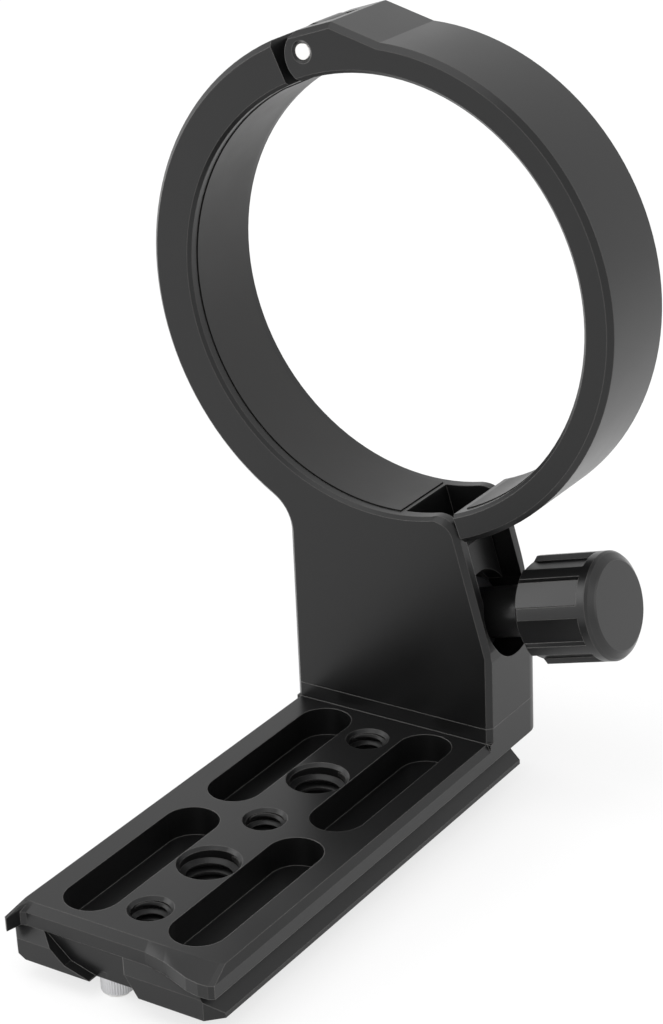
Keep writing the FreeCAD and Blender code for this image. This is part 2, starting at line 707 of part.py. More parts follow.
# The left groove is closed in front by an end stop with a bevelled corner.
stop_bevel = size("stop_bevel")
end_stop = add_sketch(foot, "end_stop_outline", "XZ_Plane", (0, 0, -block_front))
polygon(end_stop, [(-half, flange_low), (-half, rim_top + stop_bevel / 2),
                   (-rim, rim_top), (-neck_half, rim_top), (-neck_half, flange_low)])
pad(foot, end_stop, "end_stop", "sizes.stop_length_y", reverse=True)
stop_edge = add_sketch(foot, "stop_bevel_outline", "XZ_Plane", (0, 0, -block_front))
polygon(stop_edge, [(-half - 1, under - 1), (-half - 1, rim_top),
                    (-rim, under + stop_bevel * 0.6), (-rim + stop_bevel, under),
                    (-rim + stop_bevel, under - 1)])
cut(foot, stop_edge, "stop_bevel_cut", "sizes.stop_length_y")

slope = add_sketch(foot, "front_slope_outline", "YZ_Plane")
drop = size("block_drop")
polygon(slope, [(lip, flange_low), (lip, flange_low + 0.5),
                (block_front - 0.5, flange_low + 0.5),
                (block_front - 0.5, flange_low - drop - 0.56),
                (block_front, flange_low - drop)])
cut(foot, slope, "front_slope", "2 * sizes.pedestal_half + 2", midplane=True)

for name, side, alias in (("right_clip", 1, "dove_clip"), ("left_clip", -1, "stop_clip")):
    clip = size(alias)
    wide = rim if side > 0 else half
    clip_sketch = add_sketch(foot, name + "_outline", "XY_Plane", (0, 0, flange_low))
    polygon(clip_sketch, [(side * (wide - clip), block_front - 0.01),
                          (side * (wide + 1), block_front - 0.01),
                          (side * (wide + 1), block_front + clip),
                          (side * wide, block_front + clip)])
    cut(foot, clip_sketch, name, "sizes.flange_bottom - sizes.foot_bottom + 1")

front_recess = add_sketch(foot, "front_recess_outline", "XZ_Plane", (0, 0, -block_front))
polygon(front_recess, [(size("recess_left"), flange_low), (size("recess_right"), flange_low),
                       (size("recess_low_right"), under), (size("recess_low_left"), under),
                       (size("recess_knee"), under + size("recess_knee_rise"))])
cut(foot, front_recess, "front_recess", "sizes.recess_depth")

# The flange's front edge: a straight lip, a narrow horn on the left and a
# wider ramp on the right. The bevel above it is ruled up to a straight edge.
plan_front = rear * -1
top_half = size("top_half")
top_front = size("top_front")
low_outline = [(-half, plan_front), (-half, -90.6), (-19.2, -91.0), (-18.5, lip - 0.4),
               (-17.6, lip), (5.2, lip), (9.2, lip - 0.7), (14.6, lip - 2.6),
               (17.0, lip - 3.0), (18.8, lip - 2.9), (half, lip - 2.4),
               (half, plan_front)]
top_outline = [(-top_half, plan_front), (-top_half, top_front + 0.5),
               (-18.5, top_front + 0.05), (-17.7, top_front), (-16.9, top_front),
               (5.2, top_front), (8.4, top_front), (12.6, top_front),
               (14.6, top_front), (18.2, top_front + 0.02),
               (top_half, top_front + 0.5), (top_half, plan_front)]
bevel_low = top - size("top_bevel")
low_sketch = add_sketch(foot, "flange_low_outline", "XY_Plane", (0, 0, bevel_low))
polygon(low_sketch, low_outline)
pad(foot, low_sketch, "flange", "sizes.foot_top - sizes.top_bevel - sizes.flange_bottom",
    reverse=True)
low_copy = add_sketch(foot, "bevel_low_outline", "XY_Plane", (0, 0, bevel_low))
polygon(low_copy, low_outline)
high_sketch = add_sketch(foot, "bevel_high_outline", "XY_Plane", (0, 0, top))
polygon(high_sketch, top_outline)
loft = foot.newObject("PartDesign::AdditiveLoft", "top_bevel")
loft.Profile = low_copy
loft.Sections = [high_sketch]
loft.Ruled = True
doc.recompute()


def seat_outline(sketch, front_bevel):
    """Plan of the rear block, with round rear corners."""
    y = plan_front
    line(sketch, (-half + front_bevel, y), (half - front_bevel, y))
    if front_bevel > 0:
        line(sketch, (half - front_bevel, y), (half, y + front_bevel))
        line(sketch, (-half, y + front_bevel), (-half + front_bevel, y))
    line(sketch, (half, y + front_bevel), (half, rear - rear_round))
    arc(sketch, (half - rear_round, rear - rear_round), rear_round, 0, 90)
    line(sketch, (half - rear_round, rear), (-half + rear_round, rear))
    arc(sketch, (-half + rear_round, rear - rear_round), rear_round, 90, 180)
    line(sketch, (-half, rear - rear_round), (-half, y + front_bevel))


rear_flange = add_sketch(foot, "rear_flange_outline", "XY_Plane", (0, 0, flange_low))
seat_outline(rear_flange, 0)
pad(foot, rear_flange, "rear_flange", "sizes.foot_top - sizes.flange_bottom")
boss_sketch = add_sketch(foot, "seat_boss_outline", "XY_Plane", (0, 0, top))
seat_outline(boss_sketch, size("edge_bevel"))
pad(foot, boss_sketch, "seat_boss", "sizes.pedestal_bottom - sizes.foot_top")

# Four lightening slots.
slot_r = size("slot_radius")
for name, first, last in (("front", "front_slot_start", "front_slot_end"),
                          ("rear", "rear_slot_start", "rear_slot_end")):
    for side in (1, -1):
        label = "%s_%s_slot" % (name, "right" if side > 0 else "left")
        sketch = add_sketch(foot, label + "_outline", "XY_Plane", (0, 0, top))
        x = side * size("slot_x")
        y_first = size(first) + slot_r
        y_last = size(last) - slot_r
        arc(sketch, (x, y_first), slot_r, 180, 360)
        arc(sketch, (x, y_last), slot_r, 0, 180)
        line(sketch, (x - slot_r, y_first), (x - slot_r, y_last))
        line(sketch, (x + slot_r, y_first), (x + slot_r, y_last))
        cut(foot, sketch, label, "sizes.slot_sink")

# Screw holes along the middle line: three small ones and two large ones.
hole_mouth = size("hole_bevel")
first_hole = size("first_hole")
pitch = size("hole_pitch")
for name, alias, start in (("small_holes", "small_hole", first_hole),
                           ("large_holes", "large_hole", first_hole + pitch)):
    count = int(size(alias + "_count"))
    sketch = add_sketch(foot, name + "_outline", "YZ_Plane", (start, 0, 0))
    r = size(alias)
    polygon(sketch, [(0, top + 1), (r + hole_mouth, top + 1), (r + hole_mouth, top),
                     (r, top - hole_mouth), (r, under + 0.3), (r + 0.3, under),
                     (r + 0.3, under - 1), (0, under - 1)])
    groove = turned_cut(foot, sketch, name + "_first", "V_Axis")
    before = foot.Shape.Volume
    pattern = foot.newObject("PartDesign::LinearPattern", name)
    pattern.Originals = [groove]
    pattern.Direction = (origin_feature(foot, "Y_Axis"), [""])
    bind(pattern, "Length", "%d * sizes.hole_pitch" % (2 * (count - 1)))
    pattern.Occurrences = count
    foot.Tip = pattern
    doc.recompute()
    if not foot.Shape.Volume < before - 1:
        raise RuntimeError(name + " are missing")

# Pocket and thread for the stop screw under the front.
stop = (size("stop_x"), size("stop_y"))
head_low = under - size("stop_stand")
head_top = under + size("stop_sink")
pocket_sketch = add_sketch(foot, "stop_pocket_outline", "YZ_Plane", (stop[1], 0, stop[0]))
pocket_r = size("stop_head") + size("stop_pocket_gap")
shank = size("stop_shank")
thread_top = head_top + size("stop_length") - 1.2
polygon(pocket_sketch, [(0, under - 1), (pocket_r, under - 1), (pocket_r, head_top),
                        (shank, head_top), (shank, thread_top + 0.4),
                        (0, thread_top + 0.9)])
turned_cut(foot, pocket_sketch, "stop_pocket", "V_Axis")

# Counterbored holes for the two screws into the pedestal.
fix_seat = size("fix_seat")
fix_pocket = size("fix_head") + size("fix_gap")
fix_y = size("fix_y")
for name, x in (("right_fixing", size("fix_x")), ("left_fixing", -size("fix_x"))):
    sketch = add_sketch(foot, name + "_outline", "YZ_Plane", (fix_y, 0, x))
    polygon(sketch, [(0, under - 1), (fix_pocket, under - 1), (fix_pocket, fix_seat),
                     (size("fix_shank") + 0.25, fix_seat),
                     (size("fix_shank") + 0.25, bottom + 1), (0, bottom + 1)])
    turned_cut(foot, sketch, name, "V_Axis")

# The two fixing screws in one node, each a solid of its own.
fix_solids = []
for name, x in (("fix_right", size("fix_x")), ("fix_left", -size("fix_x"))):
    head = doc.addObject("Part::Cylinder", name + "_head")
    bind(head, "Radius", "sizes.fix_head")
    bind(head, "Height", "sizes.fix_head_height")
    head.Placement.Base = V(x, fix_y, fix_seat - size("fix_head_height"))
    rod = doc.addObject("Part::Cylinder", name + "_shank")
    bind(rod, "Radius", "sizes.fix_shank")
    bind(rod, "Height", "sizes.fix_top - sizes.fix_seat + 1")
    rod.Placement.Base = V(x, fix_y, fix_seat - 1)
    socket = doc.addObject("Part::Prism", name + "_socket")
    socket.Polygon = 6
    bind(socket, "Circumradius", "sizes.fix_hex")
    socket.Height = 2.5
    socket.Placement.Base = V(x, fix_y, fix_seat - size("fix_head_height"))
    whole = doc.addObject("Part::Fuse", name + "_whole")
    whole.Base = head
    whole.Tool = rod
    screw = doc.addObject("Part::Cut", name)
    screw.Base = whole
    screw.Tool = socket
    fix_solids.append(screw)
doc.recompute()
foot_screws = doc.addObject("Part::Compound", "foot_screws")
foot_screws.Label = "foot_screws"
foot_screws.Links = fix_solids

# Stop screw with a low knurled head.
stop_screw = new_body("stop_screw")
profile = add_sketch(stop_screw, "stop_profile", "XZ_Plane")
head_r = size("stop_head")
head_h = size("stop_sink") + size("stop_stand")
polygon(profile, [(0, 0), (head_r - 0.3, 0), (head_r, 0.3), (head_r, head_h),
                  (shank, head_h), (shank, head_h + size("stop_length") - 1.6),
                  (shank - 0.4, head_h + size("stop_length") - 1.2),
                  (0, head_h + size("stop_length") - 1.2)])
turned(stop_screw, profile, "stop_blank", "V_Axis")
slit = add_sketch(stop_screw, "driver_slit_outline", "XY_Plane")
polygon(slit, [(-3, -0.4), (3, -0.4), (3, 0.4), (-3, 0.4)])
cut(stop_screw, slit, "driver_slit", "0.9", reverse=True)
stop_screw.Placement = FreeCAD.Placement(V(stop[0], stop[1], head_low), FreeCAD.Rotation())

doc.recompute()
for item in doc.Objects:
    if "Invalid" in item.State or "Error" in item.State:
        raise RuntimeError("failed: " + item.Name)

NODES = (base, ring, doc.getObject("base_liner"), doc.getObject("ring_liner"), pin_body,
         knob, stud, washer, foot, foot_screws, stop_screw)
for node in NODES:
    shape = node.Shape
    if shape.isNull() or not shape.isValid():
        raise RuntimeError("bad shape: " + node.Label)
    solids = len(shape.Solids)
    print(node.Label, "solids", solids, "volume", round(shape.Volume, 1))
    shape.exportStep("parts/" + node.Label + ".step")
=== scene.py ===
import math

import bmesh
import bpy
from mathutils import Matrix, Vector


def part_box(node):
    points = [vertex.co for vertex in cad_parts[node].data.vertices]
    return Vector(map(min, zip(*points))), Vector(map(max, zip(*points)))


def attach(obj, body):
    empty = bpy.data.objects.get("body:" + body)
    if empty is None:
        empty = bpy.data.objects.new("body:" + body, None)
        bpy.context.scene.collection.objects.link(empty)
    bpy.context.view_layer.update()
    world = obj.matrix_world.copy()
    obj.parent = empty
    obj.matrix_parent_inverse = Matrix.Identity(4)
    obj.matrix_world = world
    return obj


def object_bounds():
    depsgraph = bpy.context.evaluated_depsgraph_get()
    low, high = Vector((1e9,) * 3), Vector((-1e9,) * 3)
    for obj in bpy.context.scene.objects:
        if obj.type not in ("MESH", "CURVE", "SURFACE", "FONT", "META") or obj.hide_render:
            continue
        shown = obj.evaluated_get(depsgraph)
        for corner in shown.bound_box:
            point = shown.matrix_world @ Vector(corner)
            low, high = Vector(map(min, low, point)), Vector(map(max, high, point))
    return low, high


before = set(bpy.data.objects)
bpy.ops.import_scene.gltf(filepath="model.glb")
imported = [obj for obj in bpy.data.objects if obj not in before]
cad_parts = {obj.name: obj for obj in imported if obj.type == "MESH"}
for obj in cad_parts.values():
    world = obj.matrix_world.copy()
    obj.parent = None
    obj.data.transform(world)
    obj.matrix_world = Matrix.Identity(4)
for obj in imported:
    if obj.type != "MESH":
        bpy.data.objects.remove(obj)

bl_info = {
    "name": "Lens Tripod Collar",
    "version": (1, 0, 0),
    "blender": (4, 5, 0),
    "location": "3D View > Sidebar > Collar",
    "description": "Finishes, screw threads and studio stage for a lens tripod collar",
    "category": "Object",
}

# Everything below is in metres, in the frame of the packed collar: the lens
# axis is Y, the foot reaches forward along -Y and Z points up.
CAD_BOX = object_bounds()

# Clamp screw: where its axis meets the slanted side, and its outward axis.
SCREW_SEAT = Vector((0.018321, 0.0, -0.055128))
SCREW_AXIS = Vector((0.96363, 0.0, 0.26724)).normalized()

# Tapped holes of the foot, front to back: place along Y and wall radius.
SMALL_WALL = 0.003175
LARGE_WALL = 0.0047625
FOOT_HOLES = (
    (-0.07937, SMALL_WALL),
    (-0.06380, LARGE_WALL),
    (-0.04823, SMALL_WALL),
    (-0.03266, LARGE_WALL),
    (-0.01709, SMALL_WALL),
)

# Threads: how far a ridge's root sinks into its wall, the depth of the foot's
# threads as a share of the pitch, and half the ridge's width at root and crest.
THREAD_SUNK = 0.00003
THREAD_DEPTH = 0.55
ROOT_SHARE = 0.44
CREST_SHARE = 0.07

# Thread of the clamp stud, measured along the screw's axis from its seat.
STUD_ROOT = 0.00242
STUD_CREST = 0.00293
STUD_THREAD_END = -0.0159
STUD_THREAD_START = -0.0094

# Knurled band of the stop screw: its thickness, how far it lies inside the
# head's radius, and its two ends above the bottom of the head.
KNURL_WALL = 0.0001
KNURL_SUNK = 0.00001
KNURL_LOW = 0.0004
KNURL_HIGH = 0.0044

# How sharply the paler edges show against the flat faces; their colour is partly oxide
# wear and partly a painted highlight.
EDGE_STRENGTH = 4.5

# Studio: each lamp's name, place, width and the setting with its power.
LAMPS = (
    ("key_lamp", (-0.15, -0.25, 0.95), 0.9, "key_power"),
    ("side_lamp", (0.95, 0.1, 0.35), 0.6, "side_power"),
    ("left_lamp", (-0.80, -0.50, 0.30), 0.7, "left_power"),
)
LAMP_AIM = Vector((0.0, -0.03, -0.03))
FLOOR_HALF = 4.0
MIRRORED_GLOW = 0.36
CAMERA_PLACE = Vector((0.2220, -0.3552, 0.1404))
CAMERA_RIGHT = Vector((0.8385, 0.5433, -0.0396))
CAMERA_BACK = Vector((0.5125, -0.7622, 0.3955))


# ---------------------------------------------------------------- settings

class CollarMetalSettings(bpy.types.PropertyGroup):
    """Black anodised metal of the ring, pedestal, foot and knob."""

    colour: bpy.props.FloatVectorProperty(
        name="Anodised black", description="Colour of the dyed oxide layer",
        subtype="COLOR", size=3, min=0.0, max=1.0, default=(0.0042, 0.0042, 0.0043))
    knob_colour: bpy.props.FloatVectorProperty(
        name="Knob black", description="Colour of the turned knob",
        subtype="COLOR", size=3, min=0.0, max=1.0, default=(0.0055, 0.0055, 0.0056))
    roughness: bpy.props.FloatProperty(
        name="Satin", description="Roughness of the blasted and anodised faces",
        subtype="FACTOR", min=0.0, max=1.0, default=0.31)
    knob_roughness: bpy.props.FloatProperty(
        name="Knob satin", description="Roughness of the turned knob",
        subtype="FACTOR", min=0.0, max=1.0, default=0.30)
    grain_size: bpy.props.FloatProperty(
        name="Grain size", description="Pitch of the blasted grain",
        unit="LENGTH", min=0.00002, max=0.002, default=0.00022)
    # This width also sets the band of the painted edge highlight.
    edge_width: bpy.props.FloatProperty(
        name="Broken edge", description="Width of the softly broken edges",
        unit="LENGTH", min=0.0, max=0.002, default=0.00020)
    # Edge colour: partly oxide wear, partly a painted highlight where the edges would
    # catch the lamps.
    edge_colour: bpy.props.FloatVectorProperty(
        name="Worn edge", description="Colour of the oxide wear and painted highlight along the edges",
        subtype="COLOR", size=3, min=0.0, max=1.0, default=(0.150, 0.146, 0.141))
    gloss: bpy.props.FloatProperty(
        name="Gloss", description="Specular level of the sealed oxide",
        subtype="FACTOR", min=0.0, max=1.0, default=0.37)
    knob_gloss: bpy.props.FloatProperty(
        name="Knob gloss", description="Specular level of the knob's oxide",
        subtype="FACTOR", min=0.0, max=1.0, default=0.43)
    thread_gloss: bpy.props.FloatProperty(
        name="Thread gloss", description="Specular level inside the tapped holes",
        subtype="FACTOR", min=0.0, max=1.0, default=0.26)


class CollarThreadSettings(bpy.types.PropertyGroup):
    """Screw threads in the foot and on the clamp stud."""

    small_pitch: bpy.props.FloatProperty(
        name="Small pitch", description="Pitch of the quarter inch holes",
        unit="LENGTH", min=0.0005, max=0.003, default=0.00127)
    large_pitch: bpy.props.FloatProperty(
        name="Large pitch", description="Pitch of the three eighths inch holes",
        unit="LENGTH", min=0.0005, max=0.003, default=0.0015875)
    stud_pitch: bpy.props.FloatProperty(
        name="Stud pitch", description="Pitch of the clamp stud",
        unit="LENGTH", min=0.0005, max=0.003, default=0.001)
    top: bpy.props.FloatProperty(
        name="Upper end", description="Height where the foot's threads begin",
        unit="LENGTH", default=-0.07665)
    bottom: bpy.props.FloatProperty(
        name="Lower end", description="Height where the foot's threads end",
        unit="LENGTH", default=-0.08475)


class CollarLinerSettings(bpy.types.PropertyGroup):
    """Soft strips that line the bore."""

    colour: bpy.props.FloatVectorProperty(
        name="Liner", description="Colour of the liner strips",
        subtype="COLOR", size=3, min=0.0, max=1.0, default=(0.0060, 0.0058, 0.0056))
    roughness: bpy.props.FloatProperty(
        name="Liner roughness", description="Roughness of the liner strips",
        subtype="FACTOR", min=0.0, max=1.0, default=0.42)


class CollarSteelSettings(bpy.types.PropertyGroup):
    """Bare and blackened steel of the pin, stud, washer and screws."""

    bright: bpy.props.FloatVectorProperty(
        name="Bright steel", description="Colour of the bare steel",
        subtype="COLOR", size=3, min=0.0, max=1.0, default=(0.88, 0.87, 0.85))
    dark: bpy.props.FloatVectorProperty(
        name="Blackened steel", description="Colour of the blackened screws",
        subtype="COLOR", size=3, min=0.0, max=1.0, default=(0.055, 0.055, 0.058))
    knurl_teeth: bpy.props.IntProperty(
        name="Knurl teeth", description="Teeth around the stop screw's head",
        min=12, max=90, default=36)
    knurl_depth: bpy.props.FloatProperty(
        name="Knurl depth", description="Height of the stop screw's teeth",
        unit="LENGTH", min=0.0, max=0.0005, default=0.00013)


class CollarStageSettings(bpy.types.PropertyGroup):
    """Floor, lamps and camera of the studio."""

    floor_colour: bpy.props.FloatVectorProperty(
        name="Floor", description="Colour of the pale floor",
        subtype="COLOR", size=3, min=0.0, max=1.0, default=(0.93, 0.93, 0.93))
    floor_glow: bpy.props.FloatProperty(
        name="Floor glow", description="Share of the floor seen as plain white",
        subtype="FACTOR", min=0.0, max=1.0, default=0.72)
    sky: bpy.props.FloatProperty(
        name="Surround", description="Strength of the white surround",
        min=0.0, max=2.0, default=1.0)
    key_power: bpy.props.FloatProperty(
        name="Key lamp", description="Power of the large lamp overhead",
        unit="POWER", min=0.0, max=100.0, default=3.0)
    side_power: bpy.props.FloatProperty(
        name="Side lamp", description="Power of the lamp at the right",
        unit="POWER", min=0.0, max=100.0, default=1.1)
    left_power: bpy.props.FloatProperty(
        name="Left lamp", description="Power of the lamp at the front left",
        unit="POWER", min=0.0, max=100.0, default=3.2)
    lens: bpy.props.FloatProperty(
        name="Lens", description="Focal length of the camera",
        subtype="DISTANCE_CAMERA", min=20.0, max=300.0, default=94.08)


SETTINGS = (
    ("collar_metal", CollarMetalSettings),
    ("collar_threads", CollarThreadSettings),
    ("collar_liner", CollarLinerSettings),
    ("collar_steel", CollarSteelSettings),
    ("collar_stage", CollarStageSettings),
)


# ---------------------------------------------------------- shader effects

def node_group(name, inputs, outputs):
    """Makes an empty shader group with named sockets, or returns the old one."""
    tree = bpy.data.node_groups.get(name)
    if tree is not None:
        return tree, None, None
    tree = bpy.data.node_groups.new(name, "ShaderNodeTree")
    for label, value in inputs:
        socket = tree.interface.new_socket(
            name=label, in_out="INPUT", socket_type="NodeSocketFloat")
        socket.default_value = value
    for label in outputs:
        tree.interface.new_socket(
            name=label, in_out="OUTPUT", socket_type="NodeSocketFloat")
    return tree, tree.nodes.new("NodeGroupInput"), tree.nodes.new("NodeGroupOutput")


def math_node(tree, operation, first, second=None, clamp=False):
    """Adds a Math node whose inputs are sockets or plain numbers."""
    node = tree.nodes.new("ShaderNodeMath")
    node.operation = operation
    node.use_clamp = clamp
    for index, value in enumerate((first, second)):
        if value is None:
            continue
        if isinstance(value, (int, float)):
            node.inputs[index].default_value = value
        else:
            tree.links.new(value, node.inputs[index])
    return node.outputs[0]


def noise_at(tree, vector, scale, detail):
    """Adds a Noise node; scale is a socket or a number."""
    node = tree.nodes.new("ShaderNodeTexNoise")
    node.inputs["Detail"].default_value = detail
    node.inputs["Roughness"].default_value = 0.55
    if isinstance(scale, (int, float)):
        node.inputs["Scale"].default_value = scale
    else:
        tree.links.new(scale, node.inputs["Scale"])
    tree.links.new(vector, node.inputs["Vector"])
    return node.outputs["Fac"]


def blasted_grain():
    """Fine grain of blasted metal, with a slow drift of shade over a face."""
    tree, given, result = node_group(
        "Blasted grain", (("Size", 0.0002), ("Drift", 0.02)), ("Height", "Shade"))
    if given is None:
        return tree
    place = tree.nodes.new("ShaderNodeTexCoord").outputs["Object"]
    fine = math_node(tree, "DIVIDE", 1.0, given.outputs["Size"])
    slow = math_node(tree, "DIVIDE", 1.0, given.outputs["Drift"])
    tree.links.new(noise_at(tree, place, fine, 2.0), result.inputs["Height"])
    tree.links.new(noise_at(tree, place, slow, 3.0), result.inputs["Shade"])
    return tree


def edge_wear_and_glint():
    """Mask that is one along sharp edges and zero on flat faces; it places the edge colour
    of oxide wear and painted highlight.
    """
    tree, given, result = node_group(
        "Worn edge", (("Width", 0.0002), ("Amount", 6.0)), ("Mask",))
    if given is None:
        return tree
    rounded = tree.nodes.new("ShaderNodeBevel")
    rounded.samples = 4
    tree.links.new(given.outputs["Width"], rounded.inputs["Radius"])
    true_normal = tree.nodes.new("ShaderNodeNewGeometry")
    dot = tree.nodes.new("ShaderNodeVectorMath")
    dot.operation = "DOT_PRODUCT"
    tree.links.new(rounded.outputs["Normal"], dot.inputs[0])
    tree.links.new(true_normal.outputs["Normal"], dot.inputs[1])
    turn = math_node(tree, "SUBTRACT", 1.0, dot.outputs["Value"])
    strong = math_node(tree, "MULTIPLY", turn, given.outputs["Amount"], clamp=True)
    tree.links.new(strong, result.inputs["Mask"])
    return tree


def turned_marks():
    """Fine machining marks, drawn out along the lens axis."""
    tree, given, result = node_group(
        "Turned marks", (("Pitch", 0.00025),), ("Height",))
    if given is None:
        return tree
    place = tree.nodes.new("ShaderNodeTexCoord").outputs["Object"]
    fine = math_node(tree, "DIVIDE", 1.0, given.outputs["Pitch"])
    stretched = tree.nodes.new("ShaderNodeMapping")
    stretched.inputs["Scale"].default_value = (1.0, 0.04, 1.0)
    tree.links.new(place, stretched.inputs["Vector"])
    lines = noise_at(tree, stretched.outputs["Vector"], fine, 1.0)
    tree.links.new(lines, result.inputs["Height"])
    return tree


def new_material(name):
    """Makes an empty node material and returns it with its shader."""
    material = bpy.data.materials.new(name)
    material.use_nodes = True
    tree = material.node_tree
    tree.nodes.clear()
    shader = tree.nodes.new("ShaderNodeBsdfPrincipled")
    output = tree.nodes.new("ShaderNodeOutputMaterial")
    tree.links.new(shader.outputs["BSDF"], output.inputs["Surface"])
    return material, tree, shader


def use_group(tree, group, **values):
    """Places a shader group in a material and sets its inputs."""
    node = tree.nodes.new("ShaderNodeGroup")
    node.node_tree = group
    for label, value in values.items():
        node.inputs[label].default_value = value
    return node


def mixed_colour(tree, mask, first, second):
    """Mixes two colours by a mask socket."""
    node = tree.nodes.new("ShaderNodeMix")
    node.data_type = "RGBA"
    tree.links.new(mask, node.inputs["Factor"])
    for socket, value in ((node.inputs["A"], first), (node.inputs["B"], second)):
        if isinstance(value, bpy.types.NodeSocket):
            tree.links.new(value, socket)
        else:
            socket.default_value = (*value, 1.0)
    return node.outputs["Result"]


def spread(tree, value, low, high):
    """Maps a 0 to 1 socket to a range."""
    node = tree.nodes.new("ShaderNodeMapRange")
    tree.links.new(value, node.inputs["Value"])
    node.inputs["From Min"].default_value = 0.25
    node.inputs["From Max"].default_value = 0.75
    node.inputs["To Min"].default_value = low
    node.inputs["To Max"].default_value = high
    return node.outputs["Result"]


def satin_black(name, colour, roughness, gloss, metal, depth=0.000004, wear_highlight_share=1.0):
    """Dyed, blasted metal: fine grain, drifting sheen and paler broken edges, partly oxide
    wear and partly a painted highlight.
    """
    material, tree, shader = new_material(name)
    grain = use_group(tree, blasted_grain(), Size=metal.grain_size, Drift=0.018)
    edge = use_group(tree, edge_wear_and_glint(), Width=metal.edge_width,
                     Amount=EDGE_STRENGTH)
    paler = tuple(min(1.0, part * 1.5) for part in colour)
    # Edge colour: partly oxide wear, partly a painted highlight along sharp edges.
    wear_and_glint_colour = tuple(part * wear_highlight_share for part in metal.edge_colour)
    base = mixed_colour(tree, grain.outputs["Shade"], colour, paler)
    base = mixed_colour(tree, edge.outputs["Mask"], base, wear_and_glint_colour)
    tree.links.new(base, shader.inputs["Base Color"])
    sheen = spread(tree, grain.outputs["Shade"], roughness - 0.03, roughness + 0.04)
    tree.links.new(sheen, shader.inputs["Roughness"])
    rounded = tree.nodes.new("ShaderNodeBevel")
    rounded.samples = 4
    rounded.inputs["Radius"].default_value = metal.edge_width
    bump = tree.nodes.new("ShaderNodeBump")
    bump.inputs["Strength"].default_value = 0.5
    bump.inputs["Distance"].default_value = depth
    tree.links.new(grain.outputs["Height"], bump.inputs["Height"])
    tree.links.new(rounded.outputs["Normal"], bump.inputs["Normal"])
    tree.links.new(bump.outputs["Normal"], shader.inputs["Normal"])
    shader.inputs["Specular IOR Level"].default_value = gloss
    return material


def steel(name, colour, roughness, pitch):
    """Turned steel: faint machining lines and a slightly uneven tone."""
    material, tree, shader = new_material(name)
    grain = use_group(tree, blasted_grain(), Size=0.0004, Drift=0.004)
    marks = use_group(tree, turned_marks(), Pitch=pitch)
    duller = tuple(part * 0.8 for part in colour)
    base = mixed_colour(tree, grain.outputs["Shade"], duller, colour)
    tree.links.new(base, shader.inputs["Base Color"])
    sheen = spread(tree, marks.outputs["Height"], roughness - 0.06, roughness + 0.08)
    tree.links.new(sheen, shader.inputs["Roughness"])
    bump = tree.nodes.new("ShaderNodeBump")
    bump.inputs["Strength"].default_value = 0.4
    bump.inputs["Distance"].default_value = 0.00001
    tree.links.new(marks.outputs["Height"], bump.inputs["Height"])
    tree.links.new(bump.outputs["Normal"], shader.inputs["Normal"])
    shader.inputs["Metallic"].default_value = 1.0
    return material


def liner_strip(name, colour, roughness):
    """Smooth, slightly uneven liner with a soft short nap."""
    material, tree, shader = new_material(name)
    nap = use_group(tree, blasted_grain(), Size=0.00035, Drift=0.012)
    paler = tuple(min(1.0, part * 1.7) for part in colour)
    base = mixed_colour(tree, nap.outputs["Shade"], colour, paler)
    tree.links.new(base, shader.inputs["Base Color"])
    sheen = spread(tree, nap.outputs["Shade"], roughness - 0.04, roughness + 0.05)
    tree.links.new(sheen, shader.inputs["Roughness"])
    bump = tree.nodes.new("ShaderNodeBump")
    bump.inputs["Strength"].default_value = 0.6
    bump.inputs["Distance"].default_value = 0.00001
    tree.links.new(nap.outputs["Height"], bump.inputs["Height"])
    tree.links.new(bump.outputs["Normal"], shader.inputs["Normal"])
    shader.inputs["Specular IOR Level"].default_value = 0.40
    return material


def dress(nodes, material):
    """Gives a finish to carried-over nodes of the packed collar."""
    for name in nodes:
        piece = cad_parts.get(name)
        if piece is None:
            raise RuntimeError("the packed collar has no node " + name)
        if not piece.material_slots:
            piece.data.materials.append(material)
        for slot in piece.material_slots:
            slot.material = material


# ------------------------------------------------------------- mesh pieces

def mesh_piece(name, mesh, material, body):
    """Turns a bmesh into a piece that rides on a body."""
    data = bpy.data.meshes.new(name)
    mesh.normal_update()
    mesh.to_mesh(data)
    mesh.free()
    piece = bpy.data.objects.new(name, data)
    bpy.context.scene.collection.objects.link(piece)
    data.materials.append(material)
    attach(piece, body)
    return piece


def thread_ridge(root, crest, pitch, low, high, steps=44):
    """A closed helical ridge about Z, from its root radius to its crest.

    The ridge rises out of the root and sinks back into it over half a turn.
    """
    mesh = bmesh.new()
    half_root = pitch * ROOT_SHARE
    half_crest = pitch * CREST_SHARE
    turns = (high - low - 2 * half_root) / pitch
    count = int(turns * steps)
    rings = []
    for index in range(count + 1):
        turn = turns * index / count
        angle = 2 * math.pi * turn
        grown = min(1.0, 2 * turn + 0.02, 2 * (turns - turn) + 0.02)
        tip = root + (crest - root) * grown
        middle = low + half_root + pitch * turn
        ring = []
        for radius, offset in ((root, -half_root), (tip, -half_crest),
                               (tip, half_crest), (root, half_root)):
            ring.append(mesh.verts.new((radius * math.cos(angle),
                                        radius * math.sin(angle),
                                        middle + offset)))
        rings.append(ring)
    inward = crest < root
    for before, after in zip(rings, rings[1:]):
        for corner in range(4):
            following = (corner + 1) % 4
            face = [before[corner], after[corner], after[following], before[following]]
            mesh.faces.new(face if not inward else face[::-1])
    mesh.faces.new(rings[0] if not inward else rings[0][::-1])
    mesh.faces.new(rings[-1][::-1] if not inward else rings[-1])
    bmesh.ops.recalc_face_normals(mesh, faces=mesh.faces)
    for face in mesh.faces:
        face.smooth = False
    return mesh


